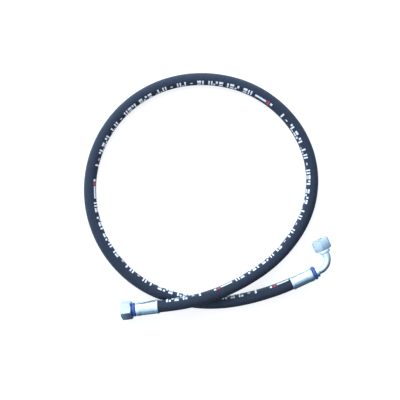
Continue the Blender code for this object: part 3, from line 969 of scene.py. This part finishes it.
    def print_bar(self, ink, line, sizes, start, end, low, high):
        """A thin closed patch on the cover: start to end along the hose, low to high
        shares of the print's height round it."""
        start = max(start, self.INK_MARGIN)
        end = min(end, line.free_length - self.INK_MARGIN)
        if end - start < self.SHORTEST_BAR:
            return
        rows = max(2, round((end - start) / self.INK_STEP_ALONG) + 1)
        columns = max(2, round((high - low) * sizes.print_height / self.INK_STEP_ROUND) + 1)
        base = sizes.cover_radius - sizes.wrap_step
        layers = []
        for radius in (sizes.cover_radius + self.INK_THICKNESS, base):
            grid = []
            for travel in np.linspace(start, end, rows):
                centre, top, inner_side = line.station(travel)
                middle = radians(self.print_angle(travel / line.free_length))
                row = []
                for share in np.linspace(low, high, columns):
                    angle = middle - (share - 0.5) * sizes.print_height / sizes.cover_radius
                    spoke = top * cos(angle) + inner_side * sin(angle)
                    row.append(ink.verts.new(centre + spoke * radius))
                grid.append(row)
            layers.append(grid)
        self.close_patch(ink, *layers)

    def print_angle(self, share):
        """Degrees from the top of the hose to the printed line, at a share of its length."""
        shares, angles = zip(*self.PRINT_ANGLES)
        return float(np.interp(share, shares, angles))

    def close_patch(self, ink, upper, lower):
        """Faces over and under the patch, and a rim that joins their edges."""
        rows, columns = len(upper), len(upper[0])
        for grid in (upper, lower):
            for row in range(rows - 1):
                for column in range(columns - 1):
                    ink.faces.new((grid[row][column], grid[row + 1][column],
                                   grid[row + 1][column + 1], grid[row][column + 1]))
        rim = [(0, column) for column in range(columns)]
        rim += [(row, columns - 1) for row in range(1, rows)]
        rim += [(rows - 1, column) for column in range(columns - 2, -1, -1)]
        rim += [(row, 0) for row in range(rows - 2, 0, -1)]
        for here, (row, column) in enumerate(rim):
            next_row, next_column = rim[(here + 1) % len(rim)]
            ink.faces.new((upper[row][column], upper[next_row][next_column],
                           lower[next_row][next_column], lower[row][column]))


# Ferrules

class HOSE_OT_ferrules(bpy.types.Operator):
    """Build the two crimped ferrules, with the ridges that the jaws leave"""

    bl_idname = "hose.ferrules"
    bl_label = "Crimped ferrules"

    RIDGE_HALF_ANGLE = 0.055
    # How far a ridge between two jaws stands up along the crimp: place in mm, share
    RIDGE_SHARES = (
        (5.2, 0.2), (6.5, 0.8), (8.0, 1.0), (12.0, 1.0), (17.0, 1.0), (22.0, 1.0),
        (26.0, 1.0), (27.5, 0.8), (28.8, 0.2),
    )

    def execute(self, context):
        sizes = context.scene.hose_fittings
        for side, placement in (("straight", AT_STRAIGHT), ("elbow", AT_ELBOW_TAIL)):
            body = turned(lambda angle: self.outline(angle, sizes), 2 * sizes.sides, 0.2 * MM)
            add_piece(side + "_crimped_ferrule", body, finish("crimped_zinc"),
                      placement, stands_for=[side + "_ferrule"])
        return {"FINISHED"}

    def outline(self, angle, sizes):
        """An uncrimped lip at the mouth, the crimp with its ridges, the band over the
        stem's groove, and the bore with its inner lip in that groove."""
        jaw = 2.0 * pi / sizes.crimp_jaws
        from_gap = (angle + 0.5 * jaw) % jaw - 0.5 * jaw
        ridge = sizes.crimp_ridge * exp(-(from_gap / self.RIDGE_HALF_ANGLE) ** 2)
        radius = sizes.ferrule_radius
        crimp = [(radius + ridge * share, place * MM) for place, share in self.RIDGE_SHARES]
        return [
            (radius - 0.1 * MM, 0.0), (radius + 0.45 * MM, 0.5 * MM), (radius + 0.45 * MM, 3.4 * MM),
            *crimp,
            (radius + 0.5 * MM, 31.2 * MM), (radius + 0.5 * MM, 36.6 * MM),
            (radius - 0.4 * MM, FERRULE_END),
            (7.0 * MM, FERRULE_END), (7.0 * MM, 33.3 * MM), (9.7 * MM, 33.3 * MM),
            (9.6 * MM, 3.6 * MM), (radius - 0.55 * MM, 0.0),
        ]


# Stems, tail and nose

def tail_outline():
    """The barbed tail, its shoulder and the groove for the ferrule's lip, as
    (radius, place) pairs from the bore out and along to the neck."""
    pairs = [(FLUID_BORE, 2.6 * MM), (5.0 * MM, 2.6 * MM), (5.4 * MM, 3.4 * MM)]
    for barb in range(4):
        place = (5.0 + 6.0 * barb) * MM
        pairs += [(5.7 * MM, place), (5.7 * MM, place + 0.8 * MM), (5.3 * MM, place + 4.6 * MM)]
    shoulder = HOSE_END + 0.3 * MM
    return pairs + [
        (5.7 * MM, 29.5 * MM), (5.7 * MM, shoulder), (8.3 * MM, shoulder), (8.3 * MM, 33.0 * MM),
        (6.7 * MM, 33.0 * MM), (6.7 * MM, FERRULE_END + 0.3 * MM), (NECK, FERRULE_END + 0.3 * MM),
    ]


def cone_radius(place):
    """The 24 degree sealing cone."""
    return 8.9 * MM - (place - 53.0 * MM) * tan(radians(12.0))


def nose_outline():
    """Wire groove, thrust shoulder, sealing cone with its seal groove, end face."""
    start, end = SEAL_PLACE - GROOVE_HALF, SEAL_PLACE + GROOVE_HALF
    tip = 60.8 * MM
    return [
        (NECK, WIRE_PLACE - GROOVE_HALF), (NECK - 0.5 * MM, WIRE_PLACE - GROOVE_HALF),
        (NECK - 0.5 * MM, WIRE_PLACE + GROOVE_HALF), (NECK, WIRE_PLACE + GROOVE_HALF),
        (NECK, 50.8 * MM), (9.7 * MM, 50.8 * MM), (9.7 * MM, 53.0 * MM), (8.9 * MM, 53.0 * MM),
        (cone_radius(start), start), (6.6 * MM, start), (6.6 * MM, end), (cone_radius(end), end),
        (cone_radius(tip), tip), (6.9 * MM, tip + 0.4 * MM), (5.2 * MM, tip + 0.4 * MM),
        (FLUID_BORE, tip - 0.4 * MM),
    ]


class HOSE_OT_stems(bpy.types.Operator):
    """Build the straight stem, the elbow's barbed tail and its cone nose"""

    bl_idname = "hose.stems"
    bl_label = "Stem, tail and nose"

    def execute(self, context):
        sides = context.scene.hose_fittings.sides
        collar_start = RING_END + 0.3 * MM
        elbow_tail = tail_outline() + [
            (NECK, collar_start), (COLLAR, collar_start), (COLLAR, TAIL_COLLAR_END),
            (SOCKET, TAIL_COLLAR_END), (SOCKET, TUBE_START - 0.3 * MM), (FLUID_BORE, TUBE_START - 0.3 * MM),
        ]
        shift = NUT_START - NUT_OFFSET
        collar_end = NUT_START - 0.4 * MM
        elbow_nose = [
            (FLUID_BORE, TUBE_END + shift + 0.3 * MM), (SOCKET, TUBE_END + shift + 0.3 * MM),
            (SOCKET, NOSE_START + shift), (COLLAR, NOSE_START + shift),
            (COLLAR, collar_end), (NECK, collar_end),
        ] + nose_outline()
        pieces = (
            ("straight_cone_stem", tail_outline() + nose_outline(), AT_STRAIGHT, "straight_stem"),
            ("elbow_barbed_tail", elbow_tail, AT_ELBOW_TAIL, "elbow_hose_tail"),
            ("elbow_nose", elbow_nose, AT_ELBOW_NOSE, "elbow_cone_nose"),
        )
        for name, pairs, placement, node in pieces:
            add_piece(name, turned(lambda _, p=pairs: p, sides, 0.18 * MM), finish("turned_zinc"),
                      placement, stands_for=[node])
        return {"FINISHED"}


# Marker rings

class HOSE_OT_marker_rings(bpy.types.Operator):
    """Build the blue marker rings, each with a crowned outer face"""

    bl_idname = "hose.marker_rings"
    bl_label = "Marker rings"

    CROWN = 1.3 * MM

    def execute(self, context):
        sizes = context.scene.hose_fittings
        radius = sizes.ring_radius
        middle = 0.5 * (RING_START + RING_END)
        half = 0.5 * (RING_END - RING_START)
        pairs = [(RING_BORE, RING_END), (RING_BORE, RING_START)]
        for step in range(-6, 7):
            share = step / 6
            pairs.append((radius - self.CROWN * share ** 2, middle + half * share))
        for side, placement in (("straight", AT_STRAIGHT), ("elbow", AT_ELBOW_TAIL)):
            add_piece(side + "_blue_ring", turned(lambda _: pairs, sizes.sides, 0.3 * MM),
                      finish("marker_plastic"), placement,
                      stands_for=[side + "_marker_ring"])
        return {"FINISHED"}


# Elbow tube

class HOSE_OT_elbow_tube(bpy.types.Operator):
    """Build the elbow's bent tube and the braze fillets at its two ends"""

    bl_idname = "hose.elbow_tube"
    bl_label = "Elbow tube and braze"

    WALL = 1.7 * MM
    BEND_STEPS = 30
    FLATTENING = 0.035
    TUBE_SIDES = 64
    BRAZE_GAP = 0.15 * MM
    BRAZE_REACH, BRAZE_HEIGHT = 1.9 * MM, 1.0 * MM

    def execute(self, context):
        sizes = context.scene.hose_fittings
        add_piece("elbow_bent_tube", self.tube(sizes.tube_radius, self.TUBE_SIDES), finish("drawn_zinc"),
                  stands_for=["elbow_tube"])
        tail_place = TAIL_COLLAR_END + self.BRAZE_GAP
        nose_place = NOSE_START + NUT_START - NUT_OFFSET - self.BRAZE_GAP
        for name, place, direction, placement, node in (
                ("elbow_tail_fillet", tail_place, 1.0, AT_ELBOW_TAIL, "elbow_tail_braze"),
                ("elbow_nose_fillet", nose_place, -1.0, AT_ELBOW_NOSE, "elbow_nose_braze")):
            body = turned(self.fillet(place, direction), sizes.sides, 0.08 * MM)
            add_piece(name, body, finish("braze_fillet"), placement, stands_for=[node])
        return {"FINISHED"}

    def stations(self):
        """(centre, direction, share of the bend's flattening) along the tube."""
        centre = ELBOW_MOUTH + ELBOW_AXIS * BEND_START + ELBOW_NUT_AXIS * BEND_RADIUS
        found = []
        for share in (0.0, 0.5):
            place = TUBE_START + (BEND_START - TUBE_START) * share
            found.append((ELBOW_MOUTH + ELBOW_AXIS * place, ELBOW_AXIS, 0.0))
        for step in range(self.BEND_STEPS + 1):
            angle = 0.5 * pi * step / self.BEND_STEPS
            point = centre + BEND_RADIUS * (ELBOW_AXIS * sin(angle) - ELBOW_NUT_AXIS * cos(angle))
            direction = ELBOW_AXIS * cos(angle) + ELBOW_NUT_AXIS * sin(angle)
            found.append((point, direction, sin(2.0 * angle)))
        for share in (0.5, 1.0):
            place = BEND_RADIUS + (TUBE_END - BEND_RADIUS) * share
            found.append((NOSE_FOOT + ELBOW_NUT_AXIS * place, ELBOW_NUT_AXIS, 0.0))
        return found

    def tube(self, radius, sides):
        """The tube flattens a little in its bend, across the bend's plane."""
        body = bmesh.new()
        walls = []
        for centre, direction, bent in self.stations():
            across = direction.cross(UP)
            rings = []
            for wall_radius in (radius, radius - self.WALL):
                ring = []
                for step in range(sides):
                    angle = 2.0 * pi * step / sides
                    inward = across * cos(angle) * (1.0 - self.FLATTENING * bent)
                    spoke = inward + UP * sin(angle)
                    ring.append(body.verts.new(centre + spoke * wall_radius))
                rings.append(ring)
            walls.append(rings)
        for (outer, inner), (next_outer, next_inner) in zip(walls, walls[1:]):
            for here in range(sides):
                after = (here + 1) % sides
                body.faces.new((outer[here], outer[after], next_outer[after], next_outer[here]))
                body.faces.new((inner[here], next_inner[here], next_inner[after], inner[after]))
        for outer, inner in (walls[0], walls[-1]):
            for here in range(sides):
                after = (here + 1) % sides
                body.faces.new((outer[here], inner[here], inner[after], outer[after]))
        bmesh.ops.recalc_face_normals(body, faces=body.faces)
        return body

    def fillet(self, place, direction):
        """A hollow-faced ring of braze between a collar's face and the tube."""
        inner, height = SOCKET - self.BRAZE_GAP, direction * self.BRAZE_HEIGHT
        pairs = [(inner, place), (inner + self.BRAZE_REACH, place)]
        for step in range(1, 6):
            angle = 0.5 * pi * step / 6
            radius = inner + self.BRAZE_REACH * (1.0 - sin(angle))
            pairs.append((radius, place + height * (1.0 - cos(angle))))
        pairs.append((inner, place + height))
        return lambda _: pairs


# Swivel nuts

class HOSE_OT_nuts(bpy.types.Operator):
    """Build the swivel nuts with their threads, and the wires that hold them on"""

    bl_idname = "hose.nuts"
    bl_label = "Swivel nuts"

    CHAMFER_RADIUS = 12.9 * MM
    CHAMFER_SLOPE = tan(radians(30.0))
    CORNER_RADIUS = 0.7 * MM
    LIP = 0.2 * MM
    BORE_END = 50.4 * MM
    GROOVE_DEPTH = 1.3 * MM
    THREAD_RADIUS = 10.3 * MM
    THREAD_DEPTH = 0.75 * MM
    THREAD_START = 51.6 * MM
    STEPS_PER_PITCH = 8
    WIRE_RING_RADIUS, WIRE_RADIUS = 8.6 * MM, 0.8 * MM
    WIRE_GAP = radians(9.0)
    WIRE_STEPS, WIRE_SIDES = 90, 12

    def execute(self, context):
        sizes = context.scene.hose_fittings
        for side, placement in (("straight", AT_STRAIGHT), ("elbow", AT_ELBOW_NOSE)):
            body = turned(lambda angle: self.outline(angle, sizes), 2 * sizes.sides)
            add_piece(side + "_hex_nut", body, finish("nut_zinc"),
                      placement @ NUT_TURN, rides_on=side + "_nut", stands_for=[side + "_swivel_nut"])
            add_piece(side + "_wire_ring", self.wire_ring(), finish("spring_wire"),
                      placement @ NUT_TURN, rides_on=side + "_nut", stands_for=[side + "_retaining_wire"])
        return {"FINISHED"}

    def hexagon(self, angle, sizes):
        """Distance from the centre to a hexagon's side, its corners rounded."""
        flat = 0.5 * sizes.across_flats
        from_corner = (angle + pi / 6.0) % (pi / 3.0) - pi / 6.0
        from_flat = pi / 6.0 - abs(from_corner)
        straight = flat - self.CORNER_RADIUS
        if from_flat <= atan(straight * tan(pi / 6.0) / flat):
            return flat / cos(from_flat)
        centre = straight / cos(pi / 6.0)
        off_centre = centre * sin(from_corner)
        return centre * cos(from_corner) + sqrt(self.CORNER_RADIUS ** 2 - off_centre ** 2)

    def outline(self, angle, sizes):
        """The back face, the chamfered hexagon, the front face, the thread, the recess
        behind it and the bore with the wire's groove."""
        outer = self.hexagon(angle, sizes)
        chamfer = (outer - self.CHAMFER_RADIUS) * self.CHAMFER_SLOPE
        lip = self.LIP
        outside = [
            (RING_BORE, NUT_START + lip), (RING_BORE + lip, NUT_START),
            (self.CHAMFER_RADIUS - lip, NUT_START), (self.CHAMFER_RADIUS, NUT_START + 0.3 * lip),
            (outer - 0.5 * lip, NUT_START + chamfer - 0.2 * lip), (outer, NUT_START + chamfer + lip),
            (outer, NUT_END - chamfer - lip), (outer - 0.5 * lip, NUT_END - chamfer + 0.2 * lip),
            (self.CHAMFER_RADIUS, NUT_END - 0.3 * lip), (self.CHAMFER_RADIUS - lip, NUT_END),
            (self.THREAD_RADIUS + 1.1 * MM, NUT_END), (self.THREAD_RADIUS + 0.9 * MM, NUT_END - lip),
        ]
        recess = self.THREAD_RADIUS + self.THREAD_DEPTH
        groove = RING_BORE + self.GROOVE_DEPTH
        inside = [
            (recess, self.THREAD_START - 0.3 * MM), (recess, self.BORE_END + lip),
            (recess - lip, self.BORE_END), (RING_BORE + lip, self.BORE_END),
            (RING_BORE, self.BORE_END - lip), (RING_BORE, WIRE_PLACE + GROOVE_HALF),
            (groove, WIRE_PLACE + GROOVE_HALF), (groove, WIRE_PLACE - GROOVE_HALF),
            (RING_BORE, WIRE_PLACE - GROOVE_HALF),
        ]
        return outside + self.thread(angle, sizes.thread_pitch) + inside

    def thread(self, angle, pitch):
        """A helical V thread from the mouth's chamfer in to the recess."""
        end = NUT_END - 0.9 * MM
        steps = round((end - self.THREAD_START) / pitch * self.STEPS_PER_PITCH)
        pairs = []
        for step in range(steps + 1):
            place = end - (end - self.THREAD_START) * step / steps
            phase = (place / pitch - angle / (2.0 * pi)) % 1.0
            depth = self.THREAD_DEPTH * min(1.0, max(0.0, 1.25 - abs(4.0 * phase - 2.0) * 1.1))
            pairs.append((self.THREAD_RADIUS + depth, place))
        return pairs

    def wire_ring(self):
        """Round wire bent to a ring with a small gap at its ends."""
        body = bmesh.new()
        rings = []
        for step in range(self.WIRE_STEPS + 1):
            angle = 0.5 * self.WIRE_GAP + (2.0 * pi - self.WIRE_GAP) * step / self.WIRE_STEPS
            ring = []
            for side in range(self.WIRE_SIDES):
                turn = 2.0 * pi * side / self.WIRE_SIDES
                reach = self.WIRE_RING_RADIUS + self.WIRE_RADIUS * cos(turn)
                height = WIRE_PLACE + self.WIRE_RADIUS * sin(turn)
                ring.append(body.verts.new((reach * cos(angle), reach * sin(angle), height)))
            rings.append(ring)
        for near, far in zip(rings, rings[1:]):
            for side in range(self.WIRE_SIDES):
                after = (side + 1) % self.WIRE_SIDES
                body.faces.new((near[side], far[side], far[after], near[after]))
        for ring in (rings[0], rings[-1]):
            body.faces.new(ring)
        bmesh.ops.recalc_face_normals(body, faces=body.faces)
        return body


# Seals

class HOSE_OT_seals(bpy.types.Operator):
    """Build the O-rings in the grooves of the two cones"""

    bl_idname = "hose.seals"
    bl_label = "Cone seals"

    RING_RADIUS, SECTION_RADIUS = 7.75 * MM, 0.85 * MM
    SECTION_POINTS = 20

    def execute(self, context):
        sides = context.scene.hose_fittings.sides
        section = []
        for step in range(self.SECTION_POINTS):
            angle = 2.0 * pi * step / self.SECTION_POINTS
            section.append((self.RING_RADIUS + self.SECTION_RADIUS * cos(angle),
                            SEAL_PLACE + self.SECTION_RADIUS * sin(angle)))
        for side, placement in (("straight", AT_STRAIGHT), ("elbow", AT_ELBOW_NOSE)):
            add_piece(side + "_o_ring", turned(lambda _: section, sides), finish("seal_rubber"),
                      placement, stands_for=[side + "_cone_seal"])
        return {"FINISHED"}


BUILD_ORDER = (
    HOSE_OT_stage, HOSE_OT_layers, HOSE_OT_ferrules, HOSE_OT_stems, HOSE_OT_marker_rings,
    HOSE_OT_elbow_tube, HOSE_OT_nuts, HOSE_OT_seals,
)


class HOSE_PT_builder(bpy.types.Panel):
    """The hose builder's panel in the sidebar"""

    bl_idname = "HOSE_PT_builder"
    bl_label = "Hydraulic Hose"
    bl_space_type = "VIEW_3D"
    bl_region_type = "UI"
    bl_category = "Hose"

    def draw(self, context):
        layout = self.layout
        for settings in (context.scene.hose_sizes, context.scene.hose_fittings, context.scene.hose_colours):
            box = layout.box()
            for name in settings.__annotations__:
                box.prop(settings, name)
        for operator in BUILD_ORDER:
            layout.operator(operator.bl_idname)


CLASSES = (HoseSizes, FittingSizes, FinishColours, *BUILD_ORDER, HOSE_PT_builder)


def register():
    for item in CLASSES:
        bpy.utils.register_class(item)
    bpy.types.Scene.hose_sizes = PointerProperty(type=HoseSizes)
    bpy.types.Scene.hose_fittings = PointerProperty(type=FittingSizes)
    bpy.types.Scene.hose_colours = PointerProperty(type=FinishColours)


def unregister():
    del bpy.types.Scene.hose_colours
    del bpy.types.Scene.hose_fittings
    del bpy.types.Scene.hose_sizes
    for item in reversed(CLASSES):
        bpy.utils.unregister_class(item)


def main():
    register()
    for operator in BUILD_ORDER:
        category, action = operator.bl_idname.split(".")
        getattr(getattr(bpy.ops, category), action)()


if __name__ == "__main__":
    main()
